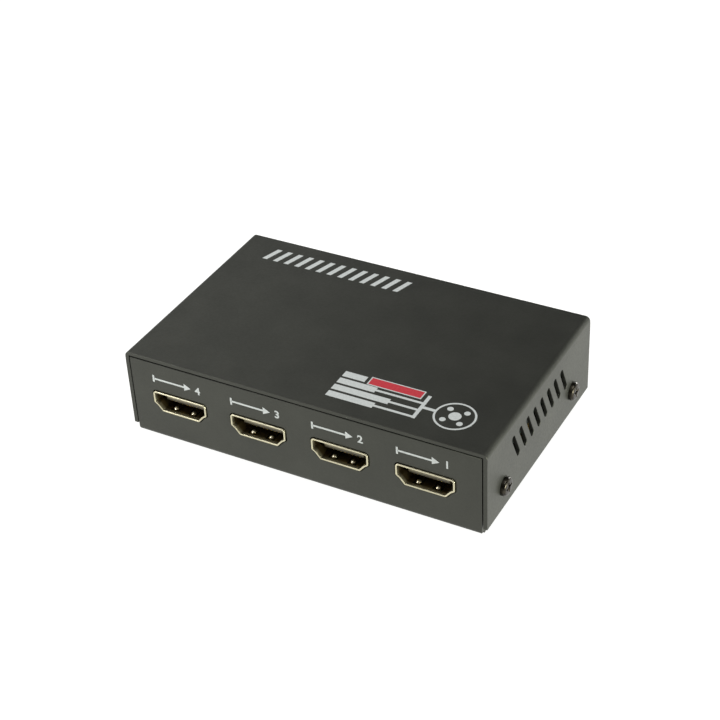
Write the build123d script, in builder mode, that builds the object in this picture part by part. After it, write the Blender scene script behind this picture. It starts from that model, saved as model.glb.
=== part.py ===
from build123d import *
import os

# One-in, four-out video splitter in a folded sheet-metal case.
# Millimetres. X runs across the case, the four outputs face -Y, the input and power face +Y, Z is up.
# The origin lies on the surface that the feet stand on, under the middle of everything that the case reaches.

# Case
case_width = 96.0
case_depth = 60.0
case_height = 23.5
sheet = 1.0
bend_radius = 0.3
case_gap = 0.3
cover_lift = 2.2
foot_height = 1.5

# How far things stand out of the end panels
socket_reach = 0.3
jack_reach = 0.2
lamp_reach = 0.5
knob_reach = 1.6

# Circuit board and the posts under it
board_side_gap = 4.2
board_thickness = 1.6
board_edge_gap = 0.8
standoff_height = 5.5
standoff_inset = 4.5
standoff_front = 22.0
standoff_rear = 19.0

# Video sockets
socket_width = 15.0
socket_height = 5.6
socket_length = 11.0
socket_wall = 0.45
socket_stand = 0.3
socket_margin = 7.5
socket_row_shift = -0.4
socket_gap = 0.25
input_place = 0.0

# Places across the rear panel: inlet and lamps from the case's sides, power lamp clear of the input socket
jack_inset = 14.0
lamp_inset = 9.0
lamp_clear = 15.0
lamp_count = 5

# One overrun serves all cuts, one small gap serves parts pressed into one another
overrun = 1.0
fit_gap = 0.02

# Levels and faces that follow from the sizes above
front_face = socket_reach - (case_depth + socket_reach + knob_reach) / 2
rear_face = front_face + case_depth
middle = (front_face + rear_face) / 2
underside = foot_height
floor_top = underside + sheet
case_top = underside + case_height
tray_width = case_width - 2 * (sheet + case_gap)
board_width = tray_width - 2 * board_side_gap
board_bottom = floor_top + standoff_height
board_top = board_bottom + board_thickness
board_depth = case_depth - 2 * (sheet + board_edge_gap)
socket_level = board_top + socket_stand + socket_height / 2

# Planes that look out of a panel, with X to the viewer's right and Y up
front_plane = Plane(origin=(0, front_face, 0), x_dir=(1, 0, 0), z_dir=(0, -1, 0))
rear_plane = Plane(origin=(0, rear_face, 0), x_dir=(-1, 0, 0), z_dir=(0, 1, 0))


def looking_in(panel, place, level, reach):
    """Plane at the mouth of something mounted behind a panel, place being across the whole case."""
    origin = (place, panel.origin.Y + reach * panel.z_dir.Y, level)
    return Plane(origin=origin, x_dir=panel.x_dir, z_dir=panel.z_dir)


def side_on(mouth):
    """Upright plane through a mouth's axis: X runs into the case, Y up."""
    return Plane(origin=mouth.origin, x_dir=-mouth.z_dir, z_dir=mouth.x_dir)


def laid_flat(mouth):
    """Level plane through a mouth's axis: X across the mouth, Y into the case."""
    return Plane(origin=mouth.origin, x_dir=mouth.x_dir, z_dir=(0, 0, 1))


def at_level(plane, x, y, level):
    """Point of the whole case at x and y of a laid-flat plane, moved to a level."""
    point = plane.from_local_coords((x, y, 0))
    return (point.X, point.Y, level)


# Output 4 is on the left as one faces the outputs, output 1 on the right
output_steps = {
    "output_socket_4": -1.5,
    "output_socket_3": -0.5,
    "output_socket_2": 0.5,
    "output_socket_1": 1.5,
}
mouths = {}
socket_pitch = (case_width - 2 * socket_margin - socket_width) / (len(output_steps) - 1)
for socket_name, steps in output_steps.items():
    output_place = socket_row_shift + steps * socket_pitch
    mouths[socket_name] = looking_in(front_plane, output_place, socket_level, socket_reach)
mouths["input_socket"] = looking_in(rear_plane, input_place, socket_level, socket_reach)


# Outline of a video socket: upright sides, then a ledge and a steep step in to a narrower floor
socket_side = 3.3
ledge_width = 0.95
ledge_drop = 0.7
socket_floor_width = 10.4
corner_round = 0.9
ledge_round = 0.5


def socket_outline():
    """Draw the outside of a socket's shell in the current sketch, centred on its origin."""
    half = socket_width / 2
    top = socket_height / 2
    side_end = top - socket_side
    points = [
        (-half, top),
        (half, top),
        (half, side_end),
        (half - ledge_width, side_end - ledge_drop),
        (socket_floor_width / 2, -top),
        (-socket_floor_width / 2, -top),
        (ledge_width - half, side_end - ledge_drop),
        (-half, side_end),
    ]
    radii = [corner_round] * 2 + [ledge_round] * 6
    with BuildLine() as outline:
        FilletPolyline(*points, radius=radii, close=True)
    make_face(outline.edges())


# Power switch and power inlet planes, shared by the rear panel, the board and the parts themselves
switch_width = 9.0
switch_height = 4.6
switch_depth = 3.6
switch_skin = 0.3
switch_gap = 0.3
switch_lift = 0.3
switch_travel = 2.0
knob_width = 2.0
knob_height = 2.0
knob_gap = 0.3
jack_width = 9.0
jack_place = case_width / 2 - jack_inset
switch_level = board_top + switch_lift + switch_height / 2
switch_place = (input_place + socket_width / 2 + jack_place - jack_width / 2) / 2
switch_face = looking_in(rear_plane, switch_place, switch_level, -(sheet + switch_gap))

jack_height = 10.8
jack_axis_height = 6.3
jack_collar_radius = 3.9
jack_collar_gap = 0.15
jack_level = board_top + jack_axis_height
jack_mouth = looking_in(rear_plane, jack_place, jack_level, jack_reach)

# Lamps, in one row from the power lamp outwards
lamp_radius = 1.5
lamp_gap = 0.1
lamp_lift = 3.2
lamp_level = board_top + lamp_lift
lamp_pitch = (case_width / 2 - lamp_inset - lamp_clear) / (lamp_count - 1)
lamp_places = [-lamp_clear - lamp_pitch * index for index in range(lamp_count)]

# Threads and screws
thread_radius = 1.5
thread_gap = 0.03
screw_hole_radius = 1.7
screw_length = 4.0
screw_head_radius = 2.5
screw_head_height = 1.3
cover_screw_front = 9.0
cover_screw_rear = 11.0
cover_screw_height = 8.5

cover_screw_seats = []
for side in (-1, 1):
    for place in (front_face + cover_screw_front, rear_face - cover_screw_rear):
        seat = (side * case_width / 2, place, underside + cover_screw_height)
        cover_screw_seats.append(Plane(origin=seat, x_dir=(0, 1, 0), z_dir=(side, 0, 0)))

standoff_points = []
for side in (-1, 1):
    for place in (front_face + standoff_front, rear_face - standoff_rear):
        standoff_points.append((side * (board_width / 2 - standoff_inset), place))
standoff_spigot_radius = 2.0


# Base tray: floor with both end panels bent up, and four ears that take the cover's screws
panel_height = case_height - sheet - case_gap
panel_corner = 1.0
ear_width = 10.0
ear_height = 12.5
ear_relief = 0.8
ear_relief_depth = 2.4

ear_middles = [front_face + cover_screw_front, rear_face - cover_screw_rear]
with BuildPart() as base_tray:
    with BuildSketch(Plane.YZ.offset(-tray_width / 2)):
        with BuildLine():
            FilletPolyline(
                (front_face + sheet / 2, underside + panel_height),
                (front_face + sheet / 2, underside + sheet / 2),
                (rear_face - sheet / 2, underside + sheet / 2),
                (rear_face - sheet / 2, underside + panel_height),
                radius=bend_radius + sheet / 2,
            )
        trace(line_width=sheet)
    extrude(amount=tray_width)
    # Rounded lower corners of the two end panels
    for panel in (front_plane, rear_plane):
        with BuildSketch(panel.offset(overrun)):
            with Locations((-tray_width / 2, underside), (tray_width / 2, underside)):
                Rectangle(2 * panel_corner, 2 * panel_corner)
            with Locations(
                (panel_corner - tray_width / 2, underside + panel_corner),
                (tray_width / 2 - panel_corner, underside + panel_corner),
            ):
                Circle(panel_corner, mode=Mode.SUBTRACT)
        extrude(amount=-(overrun + bend_radius + sheet), mode=Mode.SUBTRACT)
    # Relief notches in the floor's edges, then the ears bent up out of them
    with BuildSketch(Plane.XY.offset(underside - overrun)):
        for side in (-1, 1):
            for ear_middle in ear_middles:
                with Locations((side * tray_width / 2, ear_middle)):
                    Rectangle(2 * ear_relief_depth, ear_width + 2 * ear_relief)
    extrude(amount=sheet + 2 * overrun, mode=Mode.SUBTRACT)
    for side in (-1, 1):
        for ear_middle in ear_middles:
            with BuildSketch(Plane.XZ.offset(-(ear_middle + ear_width / 2))):
                with BuildLine():
                    FilletPolyline(
                        (side * (tray_width / 2 - ear_relief_depth), underside + sheet / 2),
                        (side * (tray_width - sheet) / 2, underside + sheet / 2),
                        (side * (tray_width - sheet) / 2, underside + ear_height),
                        radius=bend_radius + sheet / 2,
                    )
                trace(line_width=sheet)
            extrude(amount=ear_width)
    # Tapped holes in the ears, from outside inwards
    for seat in cover_screw_seats:
        with BuildSketch(seat):
            Circle(thread_radius + thread_gap)
        extrude(amount=-(2 * sheet + case_gap + overrun), mode=Mode.SUBTRACT)
    # Socket openings in both end panels
    with BuildSketch(*[mouth.offset(overrun) for mouth in mouths.values()]) as openings:
        socket_outline()
        offset(amount=socket_gap, mode=Mode.REPLACE)
    extrude(amount=-(overrun + socket_reach + sheet + overrun), mode=Mode.SUBTRACT)
    # Rear panel: power inlet, switch slot, lamp holes
    with BuildSketch(Plane.XZ.offset(-rear_face)):
        with Locations((jack_place, jack_level)):
            Circle(jack_collar_radius + jack_collar_gap)
        with Locations((switch_place, switch_level)):
            Rectangle(knob_width + switch_travel + 2 * knob_gap, knob_height + 2 * knob_gap)
        with Locations(*[(place, lamp_level) for place in lamp_places]):
            Circle(lamp_radius + lamp_gap)
    extrude(amount=sheet + overrun, both=True, mode=Mode.SUBTRACT)
    # Holes that hold the board's standoffs
    with BuildSketch(Plane.XY.offset(underside)):
        with Locations(*standoff_points):
            Circle(standoff_spigot_radius)
    extrude(amount=sheet, mode=Mode.SUBTRACT)
base_tray.part.label = "base_tray"
export_step(base_tray.part, "parts/base_tray.step")


# Cover: top with both sides bent down, eight slanted vents in each side
vent_count = 8
vent_pitch = 4.0
vent_width = 1.6
vent_span = 6.4
vent_slant = 26.0
vent_height = 15.3
vent_row_shift = -0.4

with BuildPart() as cover:
    with BuildSketch(Plane.XZ.offset(-rear_face)):
        with BuildLine():
            FilletPolyline(
                ((sheet - case_width) / 2, underside + cover_lift),
                ((sheet - case_width) / 2, case_top - sheet / 2),
                ((case_width - sheet) / 2, case_top - sheet / 2),
                ((case_width - sheet) / 2, underside + cover_lift),
                radius=bend_radius + sheet / 2,
            )
        trace(line_width=sheet)
    extrude(amount=case_depth)
    with BuildSketch(Plane.YZ):
        with Locations((middle + vent_row_shift, underside + vent_height)):
            with GridLocations(vent_pitch, 0, vent_count, 1):
                SlotCenterToCenter(vent_span, vent_width, rotation=90 + vent_slant)
    extrude(amount=case_width / 2 + overrun, both=True, mode=Mode.SUBTRACT)
    for seat in cover_screw_seats:
        with BuildSketch(seat):
            Circle(screw_hole_radius)
        extrude(amount=-(sheet + case_gap / 2), mode=Mode.SUBTRACT)
cover.part.label = "cover"
export_step(cover.part, "parts/cover.step")


# One machine screw, seated at the origin with its pan head upwards
head_round = 0.9
cross_width = 0.75
cross_span = 2.9
cross_depth = 0.9
cross_taper = 12.0
tip_chamfer = 0.3

with BuildPart() as screw:
    with BuildSketch(Plane.XY):
        Circle(screw_head_radius)
    extrude(amount=screw_head_height)
    fillet(screw.faces().sort_by(Axis.Z)[-1].edges(), radius=head_round)
    with BuildSketch(Plane.XY):
        Circle(thread_radius)
    extrude(amount=-screw_length)
    chamfer(screw.faces().sort_by(Axis.Z)[0].edges(), length=tip_chamfer)
    with BuildSketch(Plane.XY.offset(screw_head_height)):
        Rectangle(cross_span, cross_width)
        Rectangle(cross_width, cross_span)
    extrude(amount=-cross_depth, taper=cross_taper, mode=Mode.SUBTRACT)

with BuildPart() as cover_screws:
    with Locations(*cover_screw_seats):
        add(screw.part)
cover_screws.part.label = "cover_screws"
export_step(cover_screws.part, "parts/cover_screws.step")

with BuildPart() as board_screws:
    with Locations(*[(x, y, board_top) for x, y in standoff_points]):
        add(screw.part)
board_screws.part.label = "board_screws"
export_step(board_screws.part, "parts/board_screws.step")


# Four stick-on feet
foot_radius = 4.0
foot_round = 0.5
foot_inset = 9.0

with BuildPart() as rubber_feet:
    with BuildSketch(Plane.XY):
        with Locations((0, middle)):
            with GridLocations(case_width - 2 * foot_inset, case_depth - 2 * foot_inset, 2, 2):
                Circle(foot_radius)
    extrude(amount=foot_height)
    fillet(rubber_feet.faces().group_by(Axis.Z)[0].edges(), radius=foot_round)
rubber_feet.part.label = "rubber_feet"
export_step(rubber_feet.part, "parts/rubber_feet.step")


# Four threaded posts pressed into the floor
standoff_radius = 2.75

with BuildPart() as board_standoffs:
    with BuildSketch(Plane.XY.offset(floor_top)):
        with Locations(*standoff_points):
            Circle(standoff_radius)
    extrude(amount=standoff_height)
    with BuildSketch(Plane.XY.offset(underside)):
        with Locations(*standoff_points):
            Circle(standoff_spigot_radius - fit_gap)
    extrude(amount=sheet)
    with BuildSketch(Plane.XY.offset(board_bottom)):
        with Locations(*standoff_points):
            Circle(thread_radius + thread_gap)
    extrude(amount=-standoff_height, mode=Mode.SUBTRACT)
board_standoffs.part.label = "board_standoffs"
export_step(board_standoffs.part, "parts/board_standoffs.step")


# Video sockets: a plated shell, a moulded insulator with a tongue, and nineteen contacts in two rows
rim_round = 0.15
shell_leg_width = 1.0
shell_leg_tail = 0.7
shell_leg_depths = (3.9, 9.0)
finger_width = 1.6
finger_length = 5.0
finger_start = 1.3
finger_slit = 0.3
finger_spacing = 5.0
dimple_radius = 0.7
dimple_rise = 0.45
dimple_setbacks = {-1: 0.75, 1: 2.1}
tongue_width = 10.9
tongue_thickness = 1.3
tongue_start = 2.35
tongue_length = 5.3
tongue_rise = -0.2
tongue_chamfer = 0.3
contact_width = 0.4
contact_thickness = 0.25
contact_proud = 0.1
contact_pitch = 1.0
contact_start = 2.7
contact_tail_setback = 0.8
contact_foot = 1.1
contact_bend = 0.25
upper_contacts = 10
lower_contacts = 9


def contact_path(level):
    """Draw one contact side on: along the tongue, out behind the shell, down and out to a foot."""
    tail_depth = socket_length + contact_tail_setback
    foot_level = board_top + contact_thickness / 2 - socket_level
    with BuildLine() as path:
        FilletPolyline(
            (contact_start, level),
            (tail_depth, level),
            (tail_depth, foot_level),
            (tail_depth + contact_foot, foot_level),
            radius=contact_bend,
        )
    trace(path.line, line_width=contact_thickness)


def shell_leg_points(mouth, level):
    """Where a shell's four legs stand, two on each side wall."""
    flat = laid_flat(mouth)
    points = []
    for depth in shell_leg_depths:
        for side in (-1, 1):
            points.append(at_level(flat, side * (socket_width - socket_wall) / 2, depth, level))
    return points


# Raised dimple of a spring finger, standing on the origin
with BuildPart() as dimple:
    with Locations((0, 0, dimple_rise - dimple_radius)):
        Sphere(dimple_radius)
    split(bisect_by=Plane.XY.offset(-socket_wall / 2), keep=Keep.TOP)

for socket_name, mouth in mouths.items():
    side = side_on(mouth)
    flat = laid_flat(mouth)

    with BuildPart() as contacts:
        rows = ((upper_contacts, 1), (lower_contacts, -1))
        for count, direction in rows:
            tongue_face = tongue_rise + direction * tongue_thickness / 2
            level = tongue_face + direction * (contact_proud - contact_thickness / 2)
            first = -(count - 1) / 2 * contact_pitch - contact_width / 2
            with BuildSketch(*[side.offset(first + index * contact_pitch) for index in range(count)]):
                contact_path(level)
            extrude(amount=contact_width)
    contacts.part.label = socket_name + "_contacts"
    export_step(contacts.part, f"parts/{socket_name}_contacts.step")

    with BuildPart() as insulator:
        with BuildSketch(mouth.offset(-(tongue_start + tongue_length))):
            socket_outline()
            offset(amount=-(socket_wall + fit_gap), mode=Mode.REPLACE)
        extrude(amount=-(socket_length - tongue_start - tongue_length))
        with BuildSketch(mouth.offset(-tongue_start)):
            with Locations((0, tongue_rise)):
                Rectangle(tongue_width, tongue_thickness)
        extrude(amount=-tongue_length)
        tip = insulator.faces().sort_by(Axis(mouth.origin, mouth.z_dir))[-1]
        chamfer(tip.edges(), length=tongue_chamfer)
        add(contacts.part, mode=Mode.SUBTRACT)
    insulator.part.label = socket_name + "_insulator"
    export_step(insulator.part, f"parts/{socket_name}_insulator.step")

    with BuildPart() as shell:
        with BuildSketch(mouth) as ring:
            socket_outline()
            offset(ring.faces(), amount=-socket_wall, mode=Mode.SUBTRACT)
        extrude(amount=-socket_length)
        rim = shell.faces().sort_by(Axis(mouth.origin, mouth.z_dir))[-1]
        fillet(rim.edges(), radius=rim_round)
        # Spring fingers, cut free on three sides through roof and floor, free end towards the mouth
        with BuildSketch(flat.offset(-socket_height / 2 - overrun)):
            for place in (-finger_spacing / 2, finger_spacing / 2):
                with Locations((place, finger_start - finger_slit)):
                    Rectangle(
                        finger_width + 2 * finger_slit,
                        finger_length + finger_slit,
                        align=(Align.CENTER, Align.MIN),
                    )
                with Locations((place, finger_start)):
                    Rectangle(
                        finger_width,
                        finger_length,
                        align=(Align.CENTER, Align.MIN),
                        mode=Mode.SUBTRACT,
                    )
        extrude(amount=socket_height + 2 * overrun, mode=Mode.SUBTRACT)
        for place in (-finger_spacing / 2, finger_spacing / 2):
            # The upper dimples press further in than the lower ones
            for direction, setback in dimple_setbacks.items():
                foot = flat.from_local_coords(
                    (place, finger_start + setback, direction * (socket_height / 2 - socket_wall))
                )
                with Locations(Plane(origin=foot, x_dir=mouth.x_dir, z_dir=(0, 0, -direction))):
                    add(dimple.part)
        # Legs through the board
        leg_foot = board_bottom - shell_leg_tail
        for point in shell_leg_points(mouth, leg_foot):
            with BuildSketch(Plane(origin=point, x_dir=(1, 0, 0), z_dir=(0, 0, 1))):
                Rectangle(socket_wall, shell_leg_width)
            extrude(amount=socket_level - leg_foot)
    shell.part.label = socket_name + "_shell"
    export_step(shell.part, f"parts/{socket_name}_shell.step")


# Power inlet: moulded housing with a round well, a centre pin and a side spring
jack_face_depth = 3.2
jack_body_width = 8.2
jack_body_depth = 9.0
jack_well_radius = 3.15
jack_well_depth = 10.5
jack_face_setback = 1.5
jack_round = 0.4
pin_radius = 1.0
pin_root_radius = 0.8
pin_recess = 1.2
pin_round = 0.4
tag_thickness = 0.4
tag_width = 2.4
tag_rise = 1.6
tag_tail = 1.0
tag_hole_gap = 0.25
spring_thickness = 0.3
spring_width = 2.0
spring_front = 3.0
spring_back = 9.4
spring_bow = 0.5
spring_bend = 0.4
jack_length = jack_face_setback + jack_face_depth + jack_body_depth
tag_foot = board_bottom - tag_tail - jack_level
spring_level = spring_thickness - jack_well_radius

with BuildPart() as dc_jack_pin:
    with BuildSketch(jack_mouth.offset(-pin_recess)):
        Circle(pin_radius)
    extrude(amount=pin_recess - jack_well_depth)
    pin_tip = dc_jack_pin.faces().sort_by(Axis.Y)[-1]
    fillet(pin_tip.edges(), radius=pin_round)
    # A thinner root is riveted through the housing's back wall into the tag
    with BuildSketch(jack_mouth.offset(-jack_well_depth)):
        Circle(pin_root_radius)
    extrude(amount=jack_well_depth - jack_length - tag_thickness)
    with BuildSketch(side_on(jack_mouth).offset(-tag_width / 2)):
        with Locations((jack_length, tag_foot)):
            Rectangle(tag_thickness, tag_rise - tag_foot, align=(Align.MIN, Align.MIN))
    extrude(amount=tag_width)
dc_jack_pin.part.label = "dc_jack_pin"
export_step(dc_jack_pin.part, "parts/dc_jack_pin.step")

with BuildPart() as dc_jack_spring:
    with BuildSketch(side_on(jack_mouth).offset(-spring_width / 2)):
        with BuildLine():
            FilletPolyline(
                (spring_front, spring_level),
                ((spring_front + spring_back) / 2, spring_level + spring_bow),
                (spring_back, spring_level),
                (spring_back, tag_foot),
                radius=spring_bend,
            )
        trace(line_width=spring_thickness)
    extrude(amount=spring_width)
dc_jack_spring.part.label = "dc_jack_spring"
export_step(dc_jack_spring.part, "parts/dc_jack_spring.step")

with BuildPart() as dc_jack_housing:
    with BuildSketch(jack_mouth):
        Circle(jack_collar_radius)
    extrude(amount=-jack_face_setback)
    with BuildSketch(jack_mouth.offset(-jack_face_setback)):
        with Locations((0, -jack_axis_height)):
            Rectangle(jack_width, jack_height, align=(Align.CENTER, Align.MIN))
    extrude(amount=-jack_face_depth)
    fillet(dc_jack_housing.edges().filter_by(Axis.Y).group_by(Axis.Z)[-1], radius=jack_round)
    with BuildSketch(jack_mouth.offset(-(jack_face_setback + jack_face_depth))):
        Circle(jack_body_width / 2)
        with Locations((0, -jack_axis_height)):
            Rectangle(jack_body_width, jack_axis_height, align=(Align.CENTER, Align.MIN))
    extrude(amount=-jack_body_depth)
    with BuildSketch(jack_mouth):
        Circle(jack_well_radius)
    extrude(amount=-jack_well_depth, mode=Mode.SUBTRACT)
    with BuildSketch(jack_mouth):
        Circle(pin_root_radius + fit_gap)
    extrude(amount=-(jack_length + overrun), mode=Mode.SUBTRACT)
    add(dc_jack_spring.part, mode=Mode.SUBTRACT)
dc_jack_housing.part.label = "dc_jack_housing"
export_step(dc_jack_housing.part, "parts/dc_jack_housing.step")


# Power switch: folded steel frame, insulating base, three terminals and the knob that slides
knob_flange_width = 4.4
knob_flange_height = 3.2
slide_gap = 0.12
base_start = 2.4
base_tail = 0.6
knob_round = 0.3
grip_width = 0.3
grip_depth = 0.2
grip_count = 2
grip_pitch = 0.7
terminal_width = 0.6
terminal_thickness = 0.3
terminal_pitch = 2.2
terminal_count = 3
terminal_setback = 1.0
terminal_bite = 0.7
frame_leg_width = 1.2
frame_leg_depth = 1.8
switch_back = switch_depth + base_tail
switch_foot = board_bottom - tag_tail - switch_level

with BuildPart() as power_switch_frame:
    with BuildSketch(switch_face):
        Rectangle(switch_width, switch_height)
    extrude(amount=-switch_depth)
    with BuildSketch(switch_face.offset(-switch_skin)):
        Rectangle(switch_width - 2 * switch_skin, switch_height - 2 * switch_skin)
    extrude(amount=-switch_depth, mode=Mode.SUBTRACT)
    with BuildSketch(switch_face):
        Rectangle(knob_width + switch_travel + 2 * slide_gap, knob_height + 2 * slide_gap)
    extrude(amount=-(switch_skin + slide_gap), mode=Mode.SUBTRACT)
    with BuildSketch(side_on(switch_face).offset(-switch_width / 2)):
        with Locations((frame_leg_depth, switch_foot)):
            Rectangle(frame_leg_width, -switch_foot, align=(Align.CENTER, Align.MIN))
    extrude(amount=switch_skin)
    with BuildSketch(side_on(switch_face).offset(switch_width / 2 - switch_skin)):
        with Locations((frame_leg_depth, switch_foot)):
            Rectangle(frame_leg_width, -switch_foot, align=(Align.CENTER, Align.MIN))
    extrude(amount=switch_skin)
power_switch_frame.part.label = "power_switch_frame"
export_step(power_switch_frame.part, "parts/power_switch_frame.step")

with BuildPart() as power_switch_terminals:
    first = -(terminal_count - 1) / 2 * terminal_pitch - terminal_width / 2
    starts = [first + index * terminal_pitch for index in range(terminal_count)]
    with BuildSketch(*[side_on(switch_face).offset(start) for start in starts]):
        with BuildLine():
            FilletPolyline(
                (switch_back - terminal_bite, 0),
                (switch_back + terminal_setback, 0),
                (switch_back + terminal_setback, switch_foot),
                radius=spring_bend,
            )
        trace(line_width=terminal_thickness)
    extrude(amount=terminal_width)
power_switch_terminals.part.label = "power_switch_terminals"
export_step(power_switch_terminals.part, "parts/power_switch_terminals.step")

with BuildPart() as power_switch_base:
    with BuildSketch(switch_face.offset(-base_start)):
        Rectangle(switch_width - 2 * (switch_skin + fit_gap), switch_height - 2 * (switch_skin + fit_gap))
    extrude(amount=base_start - switch_back)
    add(power_switch_terminals.part, mode=Mode.SUBTRACT)
power_switch_base.part.label = "power_switch_base"
export_step(power_switch_base.part, "parts/power_switch_base.step")

# The knob rests at the low-X end of its slot and slides towards +X
knob_rest = switch_travel / 2
knob_out = switch_gap + sheet + knob_reach
with BuildPart() as power_switch_knob:
    with BuildSketch(switch_face.offset(-(switch_skin + slide_gap))):
        with Locations((knob_rest, 0)):
            Rectangle(knob_flange_width, knob_flange_height)
    extrude(amount=switch_skin + 2 * slide_gap - base_start)
    with BuildSketch(switch_face.offset(-(switch_skin + slide_gap))):
        with Locations((knob_rest, 0)):
            Rectangle(knob_width, knob_height)
    extrude(amount=knob_out + switch_skin + slide_gap)
    knob_end = power_switch_knob.faces().sort_by(Axis.Y)[-1]
    fillet(knob_end.edges(), radius=knob_round)
    with BuildSketch(switch_face.offset(knob_out)):
        with Locations((knob_rest, 0)):
            with GridLocations(grip_pitch, 0, grip_count, 1):
                Rectangle(grip_width, knob_height)
    extrude(amount=-grip_depth, mode=Mode.SUBTRACT)
power_switch_knob.part.label = "power_switch_knob"
export_step(power_switch_knob.part, "parts/power_switch_knob.step")


# Lamps: clear domed bodies that look out of the rear panel, and their legs
lamp_length = 5.0
lamp_flange_radius = 1.8
lamp_flange = 0.8
lamp_leg_spacing = 2.0
lamp_leg_size = 0.45
lamp_leg_setback = 1.6
lamp_leg_bite = 0.5
lamp_tip = rear_face + lamp_reach


def lamp_body(places):
    """Build domed lamp bodies at the given places, their axes along Y."""
    tips = [looking_in(rear_plane, place, lamp_level, lamp_reach) for place in places]
    with BuildSketch(*[tip.offset(-lamp_radius) for tip in tips]) as barrels:
        Circle(lamp_radius)
    extrude(barrels.sketch, amount=lamp_radius - lamp_length)
    with Locations(*[tip.offset(-lamp_radius) for tip in tips]):
        Sphere(lamp_radius)
    with BuildSketch(*[tip.offset(lamp_flange - lamp_length) for tip in tips]) as flanges:
        Circle(lamp_flange_radius)
    extrude(flanges.sketch, amount=-lamp_flange)


with BuildPart() as lamp_legs:
    for place in lamp_places:
        tip_side = side_on(looking_in(rear_plane, place, lamp_level, lamp_reach))
        starts = (-lamp_leg_spacing / 2, lamp_leg_spacing / 2)
        with BuildSketch(*[tip_side.offset(start - lamp_leg_size / 2) for start in starts]):
            with BuildLine():
                FilletPolyline(
                    (lamp_length - lamp_leg_bite, 0),
                    (lamp_length + lamp_leg_setback, 0),
                    (lamp_length + lamp_leg_setback, board_bottom - tag_tail - lamp_level),
                    radius=spring_bend,
                )
            trace(line_width=lamp_leg_size)
        extrude(amount=lamp_leg_size)
lamp_legs.part.label = "lamp_legs"
export_step(lamp_legs.part, "parts/lamp_legs.step")

with BuildPart() as power_lamp:
    lamp_body(lamp_places[:1])
    add(lamp_legs.part, mode=Mode.SUBTRACT)
power_lamp.part.label = "power_lamp"
export_step(power_lamp.part, "parts/power_lamp.step")

with BuildPart() as channel_lamps:
    lamp_body(lamp_places[1:])
    add(lamp_legs.part, mode=Mode.SUBTRACT)
channel_lamps.part.label = "channel_lamps"
export_step(channel_lamps.part, "parts/channel_lamps.step")


# Circuit board, with slots for every leg and tag that passes through it
board_corner = 1.5
leg_slot_length = 1.5
leg_slot_width = 0.9
lamp_hole_radius = 0.45
jack_flat = laid_flat(jack_mouth)
switch_flat = laid_flat(switch_face)

with BuildPart() as circuit_board:
    with BuildSketch(Plane.XY.offset(board_bottom)):
        with Locations((0, middle)):
            RectangleRounded(board_width, board_depth, board_corner)
        with Locations(*standoff_points):
            Circle(screw_hole_radius, mode=Mode.SUBTRACT)
        for mouth in mouths.values():
            with Locations(*[point[:2] for point in shell_leg_points(mouth, board_bottom)]):
                Rectangle(leg_slot_width, leg_slot_length, mode=Mode.SUBTRACT)
        with Locations(at_level(jack_flat, 0, jack_length + tag_thickness / 2, board_bottom)[:2]):
            Rectangle(tag_width + tag_hole_gap, tag_thickness + tag_hole_gap, mode=Mode.SUBTRACT)
        with Locations(at_level(jack_flat, 0, spring_back, board_bottom)[:2]):
            Rectangle(spring_width + tag_hole_gap, spring_thickness + tag_hole_gap, mode=Mode.SUBTRACT)
        for side in (-1, 1):
            leg_place = side * (switch_width - switch_skin) / 2
            with Locations(at_level(switch_flat, leg_place, frame_leg_depth, board_bottom)[:2]):
                Rectangle(switch_skin + tag_hole_gap, frame_leg_width + tag_hole_gap, mode=Mode.SUBTRACT)
        with Locations(at_level(switch_flat, 0, switch_back + terminal_setback, board_bottom)[:2]):
            with GridLocations(terminal_pitch, 0, terminal_count, 1):
                Rectangle(
                    terminal_width + tag_hole_gap, terminal_thickness + tag_hole_gap, mode=Mode.SUBTRACT
                )
        for place in lamp_places:
            with Locations((place, lamp_tip - lamp_length - lamp_leg_setback)):
                with GridLocations(lamp_leg_spacing, 0, 2, 1):
                    Circle(lamp_hole_radius, mode=Mode.SUBTRACT)
    extrude(amount=board_thickness)
circuit_board.part.label = "circuit_board"
export_step(circuit_board.part, "parts/circuit_board.step")


# Places of the parts on the board, as shares of its width and depth from its middle
control_chip_shares = (-0.24, -0.02)
memory_chip_shares = (-0.31, 0.18)
crystal_shares = (-0.19, 0.17)


def on_board(shares):
    """Point on the board's top at shares of its width and depth."""
    return (shares[0] * board_width, middle + shares[1] * board_depth, board_top)


# Small parts: surge arrays and resistors in rows behind the outputs, capacitors round the main chip
surge_length = 2.5
surge_width = 1.0
surge_height = 0.5
surge_gap = 2.1
small_length = 1.6
small_width = 0.8
resistor_height = 0.45
resistor_gap = 0.9
ceramic_height = 0.8
resistor_pitch = 2.4
resistor_count = 4
ceramic_pitch = 3.0
ceramic_count = 4
ceramic_gap = 1.4
chip_row_gap = 0.6

output_places = [mouth.origin.X for name, mouth in mouths.items() if name != "input_socket"]
contact_end = front_face - socket_reach + socket_length + contact_tail_setback + contact_foot
surge_row = contact_end + surge_gap + surge_width / 2
resistor_row = surge_row + surge_width / 2 + resistor_gap + small_length / 2


# Chips, given by body length, body width, body height and the leads along each long side
chip_lift = 0.1
lead_thickness = 0.15
lead_reach = 1.0
lead_step = 0.45
lead_bend = 0.12

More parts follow.
